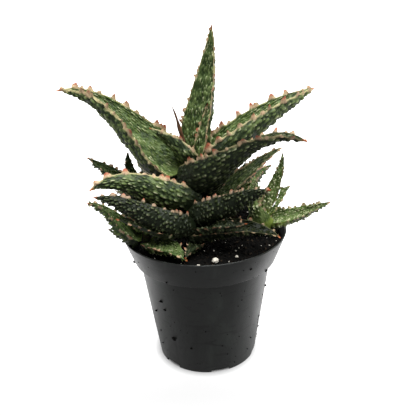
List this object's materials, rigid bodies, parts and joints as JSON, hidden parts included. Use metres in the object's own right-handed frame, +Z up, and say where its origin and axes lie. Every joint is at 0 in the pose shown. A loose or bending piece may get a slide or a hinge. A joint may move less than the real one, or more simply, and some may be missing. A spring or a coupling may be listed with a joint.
{
  "type": "potted aloe",
  "caption": "Small clumping aloe with channelled, toothed, tubercled leaves and pups, growing in potting mix in a plain tapered nursery pot with a rim band.",
  "frame": {"origin": "middle of the pot's flat rest disc, on the surface that the pot stands on", "axes": "+Z up along the pot's axis; -Y is the side that the picture was taken from, +X to the right seen from there"},
  "size_m": [0.1656, 0.1223, 0.2138],
  "materials": {
    "black_plastic": "matte moulded polypropylene, a little worn and splashed",
    "potting_mix": "damp crumbly peat and bark",
    "perlite": "rough white grains",
    "leaf_skin": "satin waxy skin with pale raised tubercles, cream margins and pink to orange teeth",
    "stem_skin": "matte, pale green to brown",
    "dry_leaf": "papery, brown"
  },
  "bodies": {
    "root": {"back_left_back": "leaf_skin", "back_left_low": "leaf_skin", "back_left_out": "leaf_skin", "back_left_right": "leaf_skin", "back_left_stem": "stem_skin", "back_left_up": "leaf_skin", "back_right_back": "leaf_skin", "back_right_front": "leaf_skin", "back_right_out": "leaf_skin", "back_right_small": "leaf_skin", "back_right_stem": "stem_skin", "back_right_up": "leaf_skin", "front_heart": "leaf_skin", "front_left": "leaf_skin", "front_low_left": "leaf_skin", "front_low_right": "leaf_skin", "front_middle": "leaf_skin", "front_right": "leaf_skin", "front_second_left": "leaf_skin", "front_stem": "stem_skin", "left_back": "leaf_skin", "left_dry": "dry_leaf", "left_front": "leaf_skin", "left_heart": "leaf_skin", "left_inner": "leaf_skin", "left_out": "leaf_skin", "left_rim": "leaf_skin", "left_stem": "stem_skin", "mother_back": "leaf_skin", "mother_back_low": "leaf_skin", "mother_back_right": "leaf_skin", "mother_back_under": "leaf_skin", "mother_dry_left": "dry_leaf", "mother_front_small": "leaf_skin", "mother_heart": "leaf_skin", "mother_inner_left": "leaf_skin", "mother_left_long": "leaf_skin", "mother_left_low": "leaf_skin", "mother_left_under": "leaf_skin", "mother_right_high": "leaf_skin", "mother_right_mid": "leaf_skin", "mother_stem": "stem_skin", "mother_sweep": "leaf_skin", "mother_top_blade": "leaf_skin", "nursery_pot": "black_plastic", "perlite_large": "perlite", "perlite_side": "perlite", "perlite_small": "perlite", "right_back": "leaf_skin", "right_front": "leaf_skin", "right_left": "leaf_skin", "right_long": "leaf_skin", "right_small": "leaf_skin", "right_stem": "stem_skin", "right_up": "leaf_skin", "soil": "potting_mix"}
  },
  "joints": []
}
